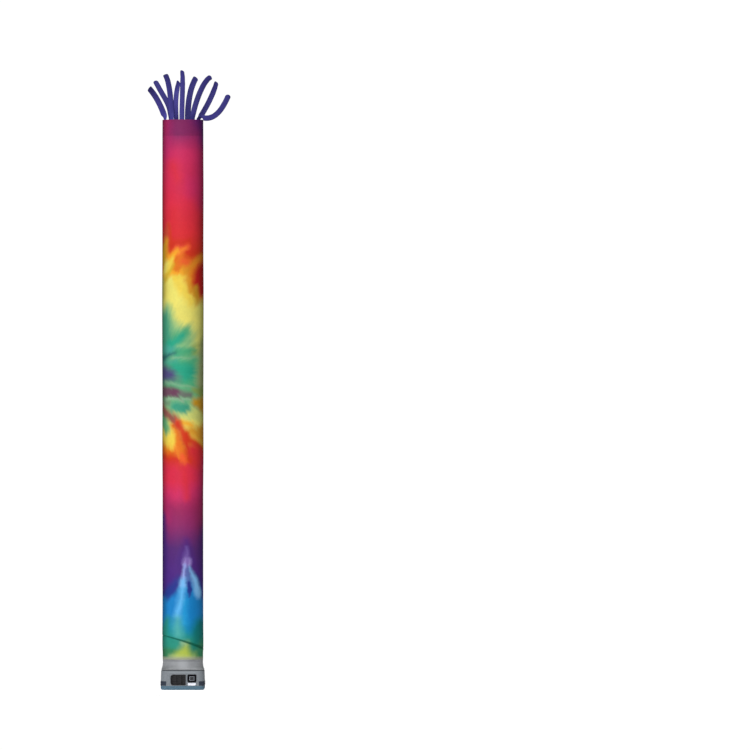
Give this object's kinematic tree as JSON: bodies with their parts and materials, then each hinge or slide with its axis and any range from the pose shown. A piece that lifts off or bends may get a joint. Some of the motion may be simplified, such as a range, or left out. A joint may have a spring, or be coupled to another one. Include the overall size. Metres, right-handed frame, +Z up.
{
  "type": "inflatable air dancer on its blower",
  "caption": "Tall printed cloth tube, open at the top with plain streamers, standing full of air on the round collar of a square floor blower.",
  "frame": {"origin": "middle of the blower's flat underside, on the tube's axis", "axes": "+Z up the tube, -Y out of the blower's front panel, +X to the right as its front is seen"},
  "size_m": [0.9253, 1.0419, 6.9244],
  "materials": {
    "printed_nylon": "satin",
    "violet_nylon": "satin",
    "grey_housing": "satin",
    "slate_tray": "satin",
    "black_plastic": "satin",
    "pale_plastic": "gloss",
    "white_label": "satin",
    "corner_rubber": "matte"
  },
  "bodies": {
    "dancer": {"cloth_tube": "printed_nylon", "streamer_1": "violet_nylon", "streamer_2": "violet_nylon", "streamer_3": "violet_nylon", "streamer_4": "violet_nylon", "streamer_5": "violet_nylon", "streamer_6": "violet_nylon", "streamer_7": "violet_nylon", "streamer_8": "violet_nylon", "streamer_9": "violet_nylon", "foot_tray": "slate_tray", "lower_housing": "grey_housing", "outlet_shell": "grey_housing", "intake_grille": "black_plastic", "switch_plate": "black_plastic", "switch_bezel": "pale_plastic", "label_plate": "white_label", "pad_back_right": "corner_rubber", "pad_back_left": "corner_rubber", "pad_front_left": "corner_rubber", "pad_front_right": "corner_rubber", "mains_gland": "black_plastic"},
    "switch": {"rocker": "black_plastic"}
  },
  "joints": [
    {"name": "rocker_tilt", "type": "hinge", "parent": "dancer", "child": "switch", "pos_m": [0.1045, -0.2459, 0.1295], "axis": [1, 0, 0], "range_deg": [0, 16]}
  ]
}
